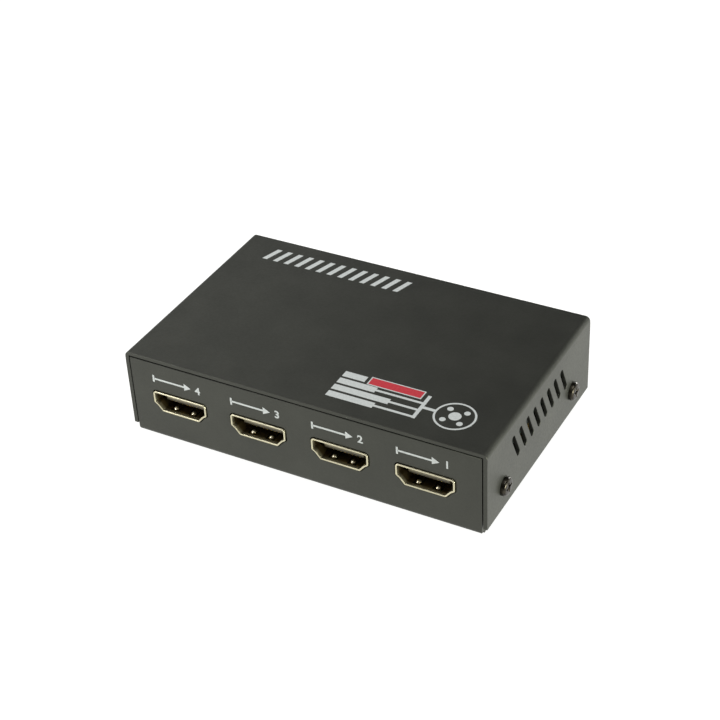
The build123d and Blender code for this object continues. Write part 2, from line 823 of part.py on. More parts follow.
splitter_body = 12.0
splitter_body_height = 1.4
splitter_lead_pitch = 0.65
splitter_lead_width = 0.3
splitter_side_leads = 16
control_length = 6.5
control_width = 4.4
control_height = 1.0
control_lead_pitch = 0.65
control_lead_width = 0.25
control_side_leads = 10
memory_length = 4.9
memory_width = 3.9
memory_height = 1.5
memory_lead_pitch = 1.27
memory_lead_width = 0.42
memory_side_leads = 4
regulator_length = 6.5
regulator_width = 3.5
regulator_height = 1.6
regulator_lead_pitch = 2.3
regulator_lead_width = 0.7
regulator_side_leads = 3
regulator_tab_width = 3.0
regulator_setback = 19.0
regulator_step = 6.4
inductor_step = 9.5
chip_edge = 0.15

# The main chip stands behind the resistors, the regulators between outputs 2 and 1
ceramic_reach = splitter_body + 2 * lead_reach + 2 * ceramic_gap + small_length
ceramic_edge = resistor_row + small_length / 2 + chip_row_gap
splitter_point = (0, ceramic_edge + small_width / 2 + ceramic_reach / 2, board_top)
regulator_place = socket_row_shift + socket_pitch
regulator_points = []
for index in range(2):
    regulator_row = front_face + regulator_setback + index * regulator_step
    regulator_points.append((regulator_place, regulator_row, board_top))


def chip_body(places, length, width, height):
    """Moulded chip bodies standing just clear of the board, their top edges chamfered."""
    with BuildSketch(*[Plane(origin=place).offset(chip_lift) for place in places]) as footprints:
        Rectangle(length, width)
    extrude(footprints.sketch, amount=height)


def lead_row(place, turn, half_body, height, pitch, width, count):
    """Gull-wing leads along the side of a chip that faces +X once the chip is turned."""
    base = Plane(origin=place).rotated((0, 0, turn))
    side = Plane(origin=base.origin, x_dir=base.x_dir, z_dir=-base.y_dir)
    first = -(count - 1) / 2 * pitch - width / 2
    shoulder = chip_lift + height / 2
    with BuildSketch(*[side.offset(first + index * pitch) for index in range(count)]) as leads:
        with BuildLine():
            FilletPolyline(
                (half_body, shoulder),
                (half_body + lead_step, shoulder),
                (half_body + lead_step, lead_thickness / 2),
                (half_body + lead_reach, lead_thickness / 2),
                radius=lead_bend,
            )
        trace(line_width=lead_thickness)
    extrude(leads.sketch, amount=width)


with BuildPart() as splitter_chip:
    chip_body([splitter_point], splitter_body, splitter_body, splitter_body_height)
    chamfer(splitter_chip.faces().sort_by(Axis.Z)[-1].edges(), length=chip_edge)
splitter_chip.part.label = "splitter_chip"
export_step(splitter_chip.part, "parts/splitter_chip.step")

with BuildPart() as splitter_chip_leads:
    for turn in (0, 90, 180, 270):
        lead_row(
            splitter_point,
            turn,
            splitter_body / 2,
            splitter_body_height,
            splitter_lead_pitch,
            splitter_lead_width,
            splitter_side_leads,
        )
splitter_chip_leads.part.label = "splitter_chip_leads"
export_step(splitter_chip_leads.part, "parts/splitter_chip_leads.step")

with BuildPart() as control_chip:
    chip_body([on_board(control_chip_shares)], control_length, control_width, control_height)
    chamfer(control_chip.faces().sort_by(Axis.Z)[-1].edges(), length=chip_edge)
control_chip.part.label = "control_chip"
export_step(control_chip.part, "parts/control_chip.step")

with BuildPart() as memory_chip:
    chip_body([on_board(memory_chip_shares)], memory_length, memory_width, memory_height)
    chamfer(memory_chip.faces().sort_by(Axis.Z)[-1].edges(), length=chip_edge)
memory_chip.part.label = "memory_chip"
export_step(memory_chip.part, "parts/memory_chip.step")

with BuildPart() as voltage_regulators:
    chip_body(regulator_points, regulator_length, regulator_width, regulator_height)
    chamfer(voltage_regulators.faces().group_by(Axis.Z)[-1].edges(), length=chip_edge)
voltage_regulators.part.label = "voltage_regulators"
export_step(voltage_regulators.part, "parts/voltage_regulators.step")

with BuildPart() as chip_leads:
    for turn in (90, 270):
        lead_row(
            on_board(control_chip_shares),
            turn,
            control_width / 2,
            control_height,
            control_lead_pitch,
            control_lead_width,
            control_side_leads,
        )
        lead_row(
            on_board(memory_chip_shares),
            turn,
            memory_width / 2,
            memory_height,
            memory_lead_pitch,
            memory_lead_width,
            memory_side_leads,
        )
    for place in regulator_points:
        lead_row(
            place,
            270,
            regulator_width / 2,
            regulator_height,
            regulator_lead_pitch,
            regulator_lead_width,
            regulator_side_leads,
        )
        lead_row(
            place,
            90,
            regulator_width / 2,
            regulator_height,
            regulator_lead_pitch,
            regulator_tab_width,
            1,
        )
chip_leads.part.label = "chip_leads"
export_step(chip_leads.part, "parts/chip_leads.step")


# Crystal: drawn can with rounded ends on a thin flange
crystal_length = 11.0
crystal_width = 4.6
crystal_flange = 0.5
crystal_can_inset = 0.4
crystal_height = 3.4
crystal_round = 0.5

with BuildPart() as crystal:
    crystal_point = on_board(crystal_shares)
    with BuildSketch(Plane(origin=crystal_point)):
        SlotOverall(crystal_length, crystal_width)
    extrude(amount=crystal_flange)
    with BuildSketch(Plane(origin=crystal_point).offset(crystal_flange)):
        SlotOverall(crystal_length - 2 * crystal_can_inset, crystal_width - 2 * crystal_can_inset)
    extrude(amount=crystal_height - crystal_flange)
    fillet(crystal.faces().sort_by(Axis.Z)[-1].edges(), radius=crystal_round)
crystal.part.label = "crystal"
export_step(crystal.part, "parts/crystal.step")


# Power inductor: moulded ferrite block on two plated end terminals
inductor_size = 7.0
inductor_height = 3.4
inductor_edge = 0.6
inductor_terminal = 1.4
inductor_terminal_thickness = 0.2

with BuildPart() as power_inductor:
    inductor_point = (regulator_place + inductor_step, middle, board_top)
    with BuildSketch(Plane(origin=inductor_point).offset(inductor_terminal_thickness)):
        RectangleRounded(inductor_size, inductor_size, inductor_edge)
    extrude(amount=inductor_height)
    chamfer(power_inductor.faces().sort_by(Axis.Z)[-1].edges(), length=chip_edge)
power_inductor.part.label = "power_inductor"
export_step(power_inductor.part, "parts/power_inductor.step")

with BuildPart() as inductor_terminals:
    with BuildSketch(Plane(origin=inductor_point)):
        with GridLocations(inductor_size - inductor_terminal, 0, 2, 1):
            Rectangle(inductor_terminal, inductor_size - 2 * inductor_edge)
    extrude(amount=inductor_terminal_thickness)
inductor_terminals.part.label = "inductor_terminals"
export_step(inductor_terminals.part, "parts/inductor_terminals.step")


# Smoothing capacitors: aluminium cans with a rolled neck, each on a moulded base with two cut corners
can_radius = 3.15
can_height = 5.2
can_round = 0.4
neck_depth = 0.25
neck_height = 0.5
neck_level = 0.9
can_base_size = 6.6
can_base_height = 0.8
can_base_cut = 1.2
can_setback = 17.5
can_gap = 0.8
first_can = ceramic_reach / 2 + small_length / 2 + can_gap + can_base_size / 2
can_places = [first_can, first_can + can_gap + can_base_size]
side_can_shares = (-0.36, 0.0)

with BuildPart() as capacitor_bases:
    can_points = [(place, rear_face - can_setback, board_top) for place in can_places]
    can_points.append(on_board(side_can_shares))
    with BuildSketch(*[Plane(origin=point) for point in can_points]) as can_base:
        Rectangle(can_base_size, can_base_size)
        chamfer(can_base.vertices().group_by(Axis.X)[-1], length=can_base_cut)
    extrude(amount=can_base_height)
capacitor_bases.part.label = "capacitor_bases"
export_step(capacitor_bases.part, "parts/capacitor_bases.step")

with BuildPart() as capacitor_cans:
    with BuildSketch(*[Plane(origin=point).offset(can_base_height) for point in can_points]):
        Circle(can_radius)
    extrude(amount=can_height)
    fillet(capacitor_cans.faces().group_by(Axis.Z)[-1].edges(), radius=can_round)
    with BuildSketch(*[Plane(origin=point).offset(can_base_height + neck_level) for point in can_points]):
        Circle(can_radius + overrun)
        Circle(can_radius - neck_depth, mode=Mode.SUBTRACT)
    extrude(amount=neck_height, mode=Mode.SUBTRACT)
capacitor_cans.part.label = "capacitor_cans"
export_step(capacitor_cans.part, "parts/capacitor_cans.step")


with BuildPart() as surge_arrays:
    with BuildSketch(Plane.XY.offset(board_top)):
        with Locations(*[(place, surge_row) for place in output_places]):
            with GridLocations(surge_length + ceramic_gap, 0, 2, 1):
                Rectangle(surge_length, surge_width)
    extrude(amount=surge_height)
surge_arrays.part.label = "surge_arrays"
export_step(surge_arrays.part, "parts/surge_arrays.step")

with BuildPart() as small_resistors:
    with BuildSketch(Plane.XY.offset(board_top)):
        with Locations(*[(place, resistor_row) for place in output_places]):
            with GridLocations(resistor_pitch, 0, resistor_count, 1):
                Rectangle(small_width, small_length)
    extrude(amount=resistor_height)
small_resistors.part.label = "small_resistors"
export_step(small_resistors.part, "parts/small_resistors.step")

with BuildPart() as small_capacitors:
    with BuildSketch(Plane(origin=splitter_point)):
        with GridLocations(ceramic_reach, ceramic_pitch, 2, ceramic_count):
            Rectangle(small_length, small_width)
        with Locations((0, -ceramic_reach / 2)):
            with GridLocations(ceramic_pitch, 0, ceramic_count, 1):
                Rectangle(small_length, small_width)
    extrude(amount=ceramic_height)
small_capacitors.part.label = "small_capacitors"
export_step(small_capacitors.part, "parts/small_capacitors.step")
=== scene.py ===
import math

import bmesh
import bpy
from mathutils import Matrix, Vector


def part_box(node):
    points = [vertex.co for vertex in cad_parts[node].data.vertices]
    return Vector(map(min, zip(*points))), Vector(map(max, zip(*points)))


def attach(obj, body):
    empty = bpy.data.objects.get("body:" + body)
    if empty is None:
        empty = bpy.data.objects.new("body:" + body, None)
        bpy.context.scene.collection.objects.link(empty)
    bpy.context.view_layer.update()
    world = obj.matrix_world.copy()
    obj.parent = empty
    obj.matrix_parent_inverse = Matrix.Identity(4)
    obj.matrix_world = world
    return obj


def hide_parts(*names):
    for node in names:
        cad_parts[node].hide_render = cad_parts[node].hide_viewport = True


# A one-in, four-out video splitter in a folded sheet-metal case.
# Metres, in the frame of its construction: outputs face -Y, input and power face +Y, Z is up.
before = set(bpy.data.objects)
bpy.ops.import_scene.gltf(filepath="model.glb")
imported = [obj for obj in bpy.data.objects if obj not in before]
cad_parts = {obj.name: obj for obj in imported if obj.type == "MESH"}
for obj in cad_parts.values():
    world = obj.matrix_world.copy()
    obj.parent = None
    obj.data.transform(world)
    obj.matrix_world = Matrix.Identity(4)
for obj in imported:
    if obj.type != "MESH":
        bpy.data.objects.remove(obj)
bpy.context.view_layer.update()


# Base tray and cover
# Two pieces of 1 mm steel, punched and folded, sprayed with black powder and baked.
# The tray carries both end panels, the cover slides over it and is screwed to its ears.
MM = 0.001
EDGE_ROUND = 0.12 * MM
PRINT_THICKNESS = 0.015 * MM
FOLD_LEVEL = 3.8 * MM
MERGE_REACH = 0.0005 * MM
FLAT_TURN = math.radians(0.4)
SMOOTH_TURN = math.radians(32)
ROUNDED_TURN = math.radians(35)
COAT_GRAIN = 0.55
COAT_CLOUD = 9.0
# A noise stays mostly between these values, so gloss and colour are spread between them
NOISE_LOW = 0.3
NOISE_HIGH = 0.7
TONE_LOW = 0.32
TONE_HIGH = 0.68


def linear(code):
    """Turn an sRGB hex colour to linear red, green, blue and alpha."""
    parts = [int(code[start:start + 2], 16) / 255 for start in (1, 3, 5)]
    return [part / 12.92 if part <= 0.04045 else ((part + 0.055) / 1.055) ** 2.4 for part in parts] + [1.0]


def add_node(tree, kind, settings=None, links=None):
    """Add a node. Settings name its properties or sockets, links name its sockets and their sources."""
    made = tree.nodes.new(kind)
    for name, value in (settings or {}).items():
        if isinstance(name, str) and hasattr(made, name):
            setattr(made, name, value)
        else:
            made.inputs[name].default_value = value
    for name, source in (links or {}).items():
        tree.links.new(source, made.inputs[name])
    return made


def per_mm(size):
    """Texture scale that gives a pattern of this size in millimetres."""
    return 1 / (size * MM)


def start_finish(name, settings):
    """Start a material: return it, its tree, its surface shader and its place on the object."""
    made = bpy.data.materials.new(name)
    made.use_nodes = True
    tree = made.node_tree
    tree.nodes.clear()
    shader = add_node(tree, "ShaderNodeBsdfPrincipled", settings)
    add_node(tree, "ShaderNodeOutputMaterial", links={"Surface": shader.outputs["BSDF"]})
    place = add_node(tree, "ShaderNodeTexCoord").outputs["Object"]
    return made, tree, shader, place


def vary_surface(tree, shader, grain, roughness=None, depth=None, strength=1.0):
    """Let a grain vary the gloss between two roughnesses and raise a relief of a depth in millimetres."""
    if roughness:
        gloss = add_node(
            tree,
            "ShaderNodeMapRange",
            {"From Min": NOISE_LOW, "From Max": NOISE_HIGH, "To Min": roughness[0], "To Max": roughness[1]},
            {"Value": grain.outputs["Fac"]},
        )
        tree.links.new(gloss.outputs["Result"], shader.inputs["Roughness"])
    if depth:
        relief = add_node(
            tree,
            "ShaderNodeBump",
            {"Strength": strength, "Distance": depth * MM},
            {"Height": grain.outputs["Fac"]},
        )
        tree.links.new(relief.outputs["Normal"], shader.inputs["Normal"])


def grained(name, colours, roughness, grain, depth, settings=None):
    """Material whose colour, gloss and relief vary with one grain, given in millimetres."""
    made, tree, shader, place = start_finish(name, settings)
    noise = add_node(tree, "ShaderNodeTexNoise", {"Scale": per_mm(grain), "Detail": 4.0}, {"Vector": place})
    tones = add_node(tree, "ShaderNodeValToRGB", links={"Fac": noise.outputs["Fac"]})
    for stop, position, colour in zip(tones.color_ramp.elements, (TONE_LOW, TONE_HIGH), colours):
        stop.position = position
        stop.color = linear(colour)
    tree.links.new(tones.outputs["Color"], shader.inputs["Base Color"])
    vary_surface(tree, shader, noise, roughness, depth)
    return made


def merged_copy(node, name):
    """Copy a construction node, join its loose triangles and make its flat faces whole."""
    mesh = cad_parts[node].data.copy()
    shape = bmesh.new()
    shape.from_mesh(mesh)
    bmesh.ops.remove_doubles(shape, verts=shape.verts, dist=MERGE_REACH)
    bmesh.ops.dissolve_limit(shape, angle_limit=FLAT_TURN, verts=shape.verts, edges=shape.edges)
    shape.to_mesh(mesh)
    shape.free()
    if "custom_normal" in mesh.attributes:
        mesh.attributes.remove(mesh.attributes["custom_normal"])
    piece = bpy.data.objects.new(name, mesh)
    bpy.context.collection.objects.link(piece)
    return piece


def dress(piece, finish):
    """Give a piece one finish and smooth shading that breaks at its edges."""
    piece.data.materials.clear()
    piece.data.materials.append(finish)
    piece.data.shade_smooth()
    piece.data.set_sharp_from_angle(angle=SMOOTH_TURN)


def round_edges(piece, radius, above=0.0):
    """Round a piece's sharp edges above a level with a live bevel."""
    shape = bmesh.new()
    shape.from_mesh(piece.data)
    weight = shape.edges.layers.float.new("bevel_weight_edge")
    for edge in shape.edges:
        low = min(corner.co.z for corner in edge.verts)
        edge[weight] = float(low > above and edge.calc_face_angle(0.0) > ROUNDED_TURN)
    shape.to_mesh(piece.data)
    shape.free()
    bevel = piece.modifiers.new("rounded_edges", "BEVEL")
    bevel.width = radius
    bevel.segments = 2
    bevel.limit_method = "WEIGHT"
    bevel.use_clamp_overlap = False
    bevel.harden_normals = True


# Baked powder shows a fine, slightly sandy skin that spreads highlights, with faint cloudiness
powder_coat, tree, shader, place = start_finish(
    "black_powder_coat", {"IOR": 1.55, "Specular Tint": linear("#f8fae5")}
)
skin = add_node(tree, "ShaderNodeTexNoise", {"Scale": per_mm(COAT_GRAIN), "Detail": 2.0}, {"Vector": place})
cloud = add_node(tree, "ShaderNodeTexNoise", {"Scale": per_mm(COAT_CLOUD), "Detail": 3.0}, {"Vector": place})
tones = add_node(tree, "ShaderNodeValToRGB", links={"Fac": cloud.outputs["Fac"]})
tones.color_ramp.elements[0].position = NOISE_LOW
tones.color_ramp.elements[0].color = linear("#20211f")
tones.color_ramp.elements[1].position = NOISE_HIGH
tones.color_ramp.elements[1].color = linear("#292a27")
tree.links.new(tones.outputs["Color"], shader.inputs["Base Color"])
vary_surface(tree, shader, skin, roughness=(0.42, 0.5), depth=0.018, strength=0.8)

for node in ("base_tray", "cover"):
    panel = merged_copy(node, "coated_" + node)
    dress(panel, powder_coat)
    round_edges(panel, EDGE_ROUND, above=FOLD_LEVEL)
    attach(panel, "case")
    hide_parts(node)
    if node == "cover":
        # The top lies lower by the thickness of its print, so that the print ends at the case's own height
        top = max(vertex.co.z for vertex in panel.data.vertices)
        for vertex in panel.data.vertices:
            if vertex.co.z > top - EDGE_ROUND:
                vertex.co.z -= PRINT_THICKNESS

case_low, case_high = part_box("cover")
tray_low, tray_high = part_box("base_tray")


# Cover screws
# Four M3 pan heads with a cross recess, cold-headed from steel wire and plated black.
# They go through the cover's sides into the ears of the tray.
HEAD_RADIUS = 2.35 * MM
HEAD_HEIGHT = 1.3 * MM
HEAD_CROWN = 0.65 * MM
HEAD_FLAT = 1.62 * MM
HEAD_CHAMFER = 0.1 * MM
CROWN_TURNS = (22, 45, 68, 90)
RECESS_REACH = 1.5 * MM
RECESS_WIDTH = 0.38 * MM
RECESS_DEPTH = 0.95 * MM
RECESS_CORNER = RECESS_WIDTH * math.sqrt(2) * 1.25
RECESS_CORNER_TURN = math.radians(30)
# Shares of the recess's depth and of its reach, near its floor and at its rim
RECESS_SHARES = ((0.86, 0.3), (0.0, 1.0))
SHANK_RADIUS = 1.45 * MM
SHANK_LENGTH = 3.9 * MM
SHANK_TIP = 0.1 * MM
THREAD_PITCH = 0.5 * MM
THREAD_DEPTH = 0.2 * MM
SCREW_STEPS = 64
SCREW_SEED = 7


def cross_reach(angle):
    """Distance from a recess's axis to its wall, for a cross of four rounded wings."""
    wing = abs((angle + math.pi / 4) % (math.pi / 2) - math.pi / 4)
    across = RECESS_WIDTH / max(math.sin(wing), RECESS_WIDTH / RECESS_REACH)
    return min(across, RECESS_CORNER) if wing > RECESS_CORNER_TURN else across


def screw_outline():
    """Radius and height of each ring from the head's flat over its crown to the threaded shank's end."""
    outline = [(HEAD_FLAT, HEAD_HEIGHT)]
    for turn in CROWN_TURNS:
        bend = math.radians(turn)
        radius = HEAD_RADIUS - HEAD_CROWN * (1 - math.sin(bend))
        outline.append((radius, HEAD_HEIGHT - HEAD_CROWN * (1 - math.cos(bend))))
    outline += [(HEAD_RADIUS, HEAD_CHAMFER), (HEAD_RADIUS - HEAD_CHAMFER, 0.0), (SHANK_RADIUS, 0.0)]
    level = 0.0
    while level > -SHANK_LENGTH + THREAD_PITCH:
        outline.append((SHANK_RADIUS - THREAD_DEPTH, level - THREAD_PITCH / 2))
        level -= THREAD_PITCH
        outline.append((SHANK_RADIUS, level))
    return outline


def pan_head(name):
    """One screw at the origin, its head upwards: cross recess, crown and threaded shank."""
    angles = [2 * math.pi * step / SCREW_STEPS for step in range(SCREW_STEPS)]
    outline = screw_outline()
    rings = []
    for depth_share, reach_share in RECESS_SHARES:
        height = HEAD_HEIGHT - RECESS_DEPTH * depth_share
        rings.append([(cross_reach(angle) * reach_share, height) for angle in angles])
    rings += [[corner] * SCREW_STEPS for corner in outline]
    shape = bmesh.new()
    rows = []
    for ring in rings:
        row = []
        for angle, (radius, height) in zip(angles, ring):
            row.append(shape.verts.new((radius * math.cos(angle), radius * math.sin(angle), height)))
        rows.append(row)
    floor = shape.verts.new((0, 0, HEAD_HEIGHT - RECESS_DEPTH))
    tip = shape.verts.new((0, 0, outline[-1][1] - SHANK_TIP))
    for index in range(SCREW_STEPS):
        following = (index + 1) % SCREW_STEPS
        shape.faces.new((floor, rows[0][following], rows[0][index]))
        shape.faces.new((tip, rows[-1][index], rows[-1][following]))
        for inner, outer in zip(rows, rows[1:]):
            shape.faces.new((inner[index], inner[following], outer[following], outer[index]))
    bmesh.ops.recalc_face_normals(shape, faces=shape.faces)
    mesh = bpy.data.meshes.new(name)
    shape.to_mesh(mesh)
    shape.free()
    return mesh


def start_tree(name, inputs):
    """Start a geometry tree with named inputs: return it, its input node and its output node."""
    tree = bpy.data.node_groups.new(name, "GeometryNodeTree")
    tree.interface.new_socket("Geometry", in_out="INPUT", socket_type="NodeSocketGeometry")
    for label, kind in inputs.items():
        tree.interface.new_socket(label, in_out="INPUT", socket_type="NodeSocket" + kind)
    tree.interface.new_socket("Geometry", in_out="OUTPUT", socket_type="NodeSocketGeometry")
    return tree, add_node(tree, "NodeGroupInput"), add_node(tree, "NodeGroupOutput")


def end_tree(tree, given, result, copies):
    """End a geometry tree: make its copies real and give them the finish."""
    real = add_node(tree, "GeometryNodeRealizeInstances", links={"Geometry": copies})
    finished = add_node(
        tree,
        "GeometryNodeSetMaterial",
        links={"Geometry": real.outputs["Geometry"], "Material": given.outputs["Finish"]},
    )
    tree.links.new(finished.outputs["Geometry"], result.inputs["Geometry"])


def grow(name, mesh, tree, values):
    """Run a geometry tree on a mesh with values for its inputs, and return the piece that it makes."""
    seedling = bpy.data.objects.new(name + "_start", mesh)
    bpy.context.collection.objects.link(seedling)
    repeat = seedling.modifiers.new("repeat", "NODES")
    repeat.node_group = tree
    for socket in tree.interface.items_tree:
        if socket.in_out == "INPUT" and socket.name in values:
            repeat[socket.identifier] = values[socket.name]
    bpy.context.view_layer.update()
    grown = bpy.data.meshes.new_from_object(seedling.evaluated_get(bpy.context.evaluated_depsgraph_get()))
    seedling.modifiers.remove(repeat)
    bpy.data.objects.remove(seedling)
    piece = bpy.data.objects.new(name, grown)
    bpy.context.collection.objects.link(piece)
    return piece


METAL = {"Metallic": 1.0}

# Black zinc on cold-headed steel: dark with a satin shine, browner and paler where the plate is thin
black_zinc = grained(
    "black_zinc_plate",
    ("#2b2925", "#47433a"),
    roughness=(0.26, 0.4),
    grain=0.9,
    depth=0.006,
    settings=METAL,
)

screw_low, screw_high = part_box("cover_screws")
tree, given, result = start_tree(
    "screws_in_both_sides",
    {"Width": "Float", "Depth": "Float", "Middle": "Vector", "Seed": "Int", "Finish": "Material"},
)
seats = add_node(
    tree,
    "GeometryNodeMeshGrid",
    {"Vertices X": 2, "Vertices Y": 2},
    {"Size X": given.outputs["Width"], "Size Y": given.outputs["Depth"]},
)
seat_place = add_node(tree, "GeometryNodeInputPosition")
seat_parts = add_node(tree, "ShaderNodeSeparateXYZ", links={"Vector": seat_place.outputs["Position"]})
side = add_node(tree, "ShaderNodeMath", {"operation": "SIGN"}, {0: seat_parts.outputs["X"]})
lean = add_node(
    tree, "ShaderNodeMath", {"operation": "MULTIPLY", 1: math.pi / 2}, {0: side.outputs["Value"]}
)
turned = add_node(tree, "ShaderNodeCombineXYZ", links={"Y": lean.outputs["Value"]})
facing = add_node(tree, "FunctionNodeEulerToRotation", links={"Euler": turned.outputs["Vector"]})
placed = add_node(
    tree,
    "GeometryNodeInstanceOnPoints",
    links={
        "Points": seats.outputs["Mesh"],
        "Instance": given.outputs["Geometry"],
        "Rotation": facing.outputs["Rotation"],
    },
)
twist = add_node(
    tree,
    "FunctionNodeRandomValue",
    {"data_type": "FLOAT_VECTOR", "Min": (0, 0, 0), "Max": (0, 0, math.pi / 2)},
    {"Seed": given.outputs["Seed"]},
)
driven = add_node(
    tree,
    "GeometryNodeRotateInstances",
    {"Local Space": True},
    {"Instances": placed.outputs["Instances"], "Rotation": twist.outputs["Value"]},
)
moved = add_node(
    tree,
    "GeometryNodeTranslateInstances",
    {"Local Space": False},
    {"Instances": driven.outputs["Instances"], "Translation": given.outputs["Middle"]},
)
end_tree(tree, given, result, moved.outputs["Instances"])
screws = grow(
    "cover_screw_heads",
    pan_head("pan_head"),
    tree,
    {
        "Width": case_high.x - case_low.x,
        "Depth": (screw_high.y - screw_low.y) - (screw_high.z - screw_low.z),
        "Middle": (screw_low + screw_high) / 2,
        "Seed": SCREW_SEED,
        "Finish": black_zinc,
    },
)
dress(screws, black_zinc)
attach(screws, "case")
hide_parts("cover_screws")


# Video sockets
# Four outputs and one input: a drawn steel shell with spring fingers, a moulded tongue and 19 contacts.
# Each is soldered to the board and looks out through its own opening in the end panel.
BRIGHT_DEPTH = 0.45 * MM
FULL_SHADE_DEPTH = 1.3 * MM
TONGUE_SETBACK = 2.35 * MM
HIGHLIGHT_BAND_DEPTH = 0.35 * MM
HIGHLIGHT_BAND_HEIGHT = 0.9 * MM
DIMPLE_DEPTH = 2.05 * MM
DIMPLE_SPACING = 5.0 * MM
DIMPLE_REACH = 0.8 * MM
DIMPLE_DROP = 2.84 * MM
SMEAR_SIZE = 1.2
FIBRE_SIZE = 0.35
socket_names = [f"output_socket_{number}" for number in (4, 3, 2, 1)] + ["input_socket"]
front_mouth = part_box("output_socket_1_shell")[0].y
rear_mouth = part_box("input_socket_shell")[1].y
tongue_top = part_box("output_socket_1_contacts")[1].z
dimple_foot = tongue_top - DIMPLE_DROP


def carry(nodes, finish):
    """Give construction nodes that keep their own shape a finish."""
    for node in nodes:
        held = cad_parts[node].data
        held.materials.clear()
        held.materials.append(finish)


def near_mouths(tree, across, full, gone):
    """Factor that is 1 down to one depth inside the sockets' mouths and falls to 0 at another."""
    fades = []
    for mouth, inward in ((front_mouth, 1), (rear_mouth, -1)):
        fade = add_node(
            tree,
            "ShaderNodeMapRange",
            {"From Min": mouth + inward * gone, "From Max": mouth + inward * full},
            {"Value": across.outputs["Y"]},
        )
        fades.append(fade.outputs["Result"])
    either = add_node(tree, "ShaderNodeMath", {"operation": "MAXIMUM"}, {0: fades[0], 1: fades[1]})
    return either.outputs["Value"]


# Thin gold flash over nickel, creamy at the rim; deeper inside it is darkened to a dull brown as painted
# shade
gold_plate, tree, shader, place = start_finish("gold_plate_with_painted_shade", METAL)
across = add_node(tree, "ShaderNodeSeparateXYZ", links={"Vector": place})
rim = near_mouths(tree, across, BRIGHT_DEPTH, FULL_SHADE_DEPTH)
# The plating's colour by depth: full near the mouths, then painted shade towards the inside
flash = add_node(tree, "ShaderNodeValToRGB", links={"Fac": rim})
flash.color_ramp.elements[0].color = linear("#7d6c48")
flash.color_ramp.elements[1].color = linear("#ccc6aa")
tree.links.new(flash.outputs["Color"], shader.inputs["Base Color"])
smears = add_node(
    tree, "ShaderNodeTexNoise", {"Scale": per_mm(SMEAR_SIZE), "Detail": 3.0}, {"Vector": place}
)
vary_surface(tree, shader, smears, roughness=(0.3, 0.42))

# The fingers' dimples are rubbed by every plug; their pale colour is partly that wear and partly a painted
# highlight, and they stay out of the shells' painted shade
rubbed_gold_with_painted_highlight = grained(
    "rubbed_gold_flash_with_painted_highlight",
    ("#f0e8cc", "#f8f2da"),
    roughness=(0.3, 0.4),
    grain=0.6,
    depth=0.0005,
    settings=METAL,
)
for name in socket_names:
    shell = merged_copy(name + "_shell", name + "_plated_shell")
    dress(shell, gold_plate)
    shell.data.materials.append(rubbed_gold_with_painted_highlight)
    low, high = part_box(name + "_shell")
    middle = (low.x + high.x) / 2
    # Faces on the dimples take the pale finish that carries the painted highlight
    for face in shell.data.polygons:
        spot = face.center
        depth = rear_mouth - spot.y if name == "input_socket" else spot.y - front_mouth
        beside = abs(abs(spot.x - middle) - DIMPLE_SPACING / 2)
        below_tongue = dimple_foot < spot.z < tongue_top
        if below_tongue and beside < DIMPLE_REACH and abs(depth - DIMPLE_DEPTH) < DIMPLE_REACH:
            face.material_index = 1
    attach(shell, "case")
    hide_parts(name + "_shell")

# Selectively plated contacts are a deeper gold than the shell
contact_gold = grained(
    "gold_plated_contact",
    ("#d9b56a", "#e8c880"),
    roughness=(0.15, 0.28),
    grain=0.3,
    depth=0.002,
    settings=METAL,
)
carry([name + "_contacts" for name in socket_names], contact_gold)

# Glass-filled high-temperature plastic: near black with a dry skin; a painted highlight lies pale along the
# tongue's upper front edge
tongue_black, tree, shader, place = start_finish("glass_filled_moulding", {"Roughness": 0.45})
across = add_node(tree, "ShaderNodeSeparateXYZ", links={"Vector": place})
# A band at the top of the tongue's front edge is made pale as a painted highlight
front_edge = near_mouths(tree, across, TONGUE_SETBACK, TONGUE_SETBACK + HIGHLIGHT_BAND_DEPTH)
upper = add_node(
    tree,
    "ShaderNodeMapRange",
    {"From Min": tongue_top - HIGHLIGHT_BAND_HEIGHT, "From Max": tongue_top},
    {"Value": across.outputs["Z"]},
)
painted_highlight = add_node(
    tree, "ShaderNodeMath", {"operation": "MULTIPLY"}, {0: front_edge, 1: upper.outputs["Result"]}
)
moulding = add_node(tree, "ShaderNodeValToRGB", links={"Fac": painted_highlight.outputs["Value"]})
moulding.color_ramp.elements[0].color = linear("#403c2f")
moulding.color_ramp.elements[1].color = linear("#b5ad92")
tree.links.new(moulding.outputs["Color"], shader.inputs["Base Color"])
fibres = add_node(
    tree, "ShaderNodeTexNoise", {"Scale": per_mm(FIBRE_SIZE), "Detail": 4.0}, {"Vector": place}
)
vary_surface(tree, shader, fibres, depth=0.01)
carry([name + "_insulator" for name in socket_names], tongue_black)


# Power inlet
# A housing moulded in near-black, half matt nylon; its pin is turned brass, its spring stamped steel.
# It is soldered to the board, and its collar fills the hole in the rear panel.
inlet_black = grained("moulded_nylon", ("#191919", "#232322"), roughness=(0.38, 0.5), grain=0.6, depth=0.008)
carry(["dc_jack_housing"], inlet_black)

# Tin has a soft grey shine with fine drawing marks
tin_plate = grained(
    "matt_tin_plate", ("#b9b8b3", "#cfcec8"), roughness=(0.25, 0.4), grain=0.4, depth=0.004, settings=METAL
)
carry(
    [
        "dc_jack_pin",
        "dc_jack_spring",
        "power_switch_terminals",
        "lamp_legs",
        "splitter_chip_leads",
        "chip_leads",
        "inductor_terminals",
    ],
    tin_plate,
)


# Power switch
# A folded steel frame over an insulating base; the moulded knob slides across a slot in the panel.
# Only the knob reaches outside, with ribs on its end for a fingertip.
KNOB_ROUND = 0.05 * MM

